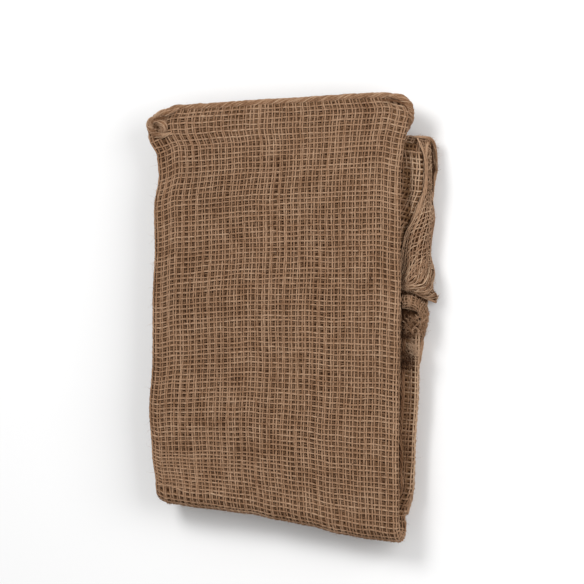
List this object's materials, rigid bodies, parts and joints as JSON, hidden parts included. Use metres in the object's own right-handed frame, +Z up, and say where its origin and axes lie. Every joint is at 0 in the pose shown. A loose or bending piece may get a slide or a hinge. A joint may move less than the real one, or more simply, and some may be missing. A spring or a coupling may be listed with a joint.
{
  "type": "hessian sack",
  "caption": "Large sack of open plain-woven jute cloth, sewn along its bottom and one side, folded in thirds both ways into a flat pack.",
  "frame": {"origin": "middle of the pack's plan, on the surface that it lies on", "axes": "+X to the right of the front face, +Y towards the sewn end of the sack, +Z up out of the front face"},
  "size_m": [0.2224, 0.3336, 0.0373],
  "materials": {
    "jute_cloth": "matt, open plain weave of thick jute yarn",
    "seam_yarn": "matt, loosely twisted jute yarn"
  },
  "bodies": {
    "root": {"sack_cloth": "jute_cloth", "bottom_seam": "seam_yarn", "side_seam": "seam_yarn"}
  },
  "joints": []
}
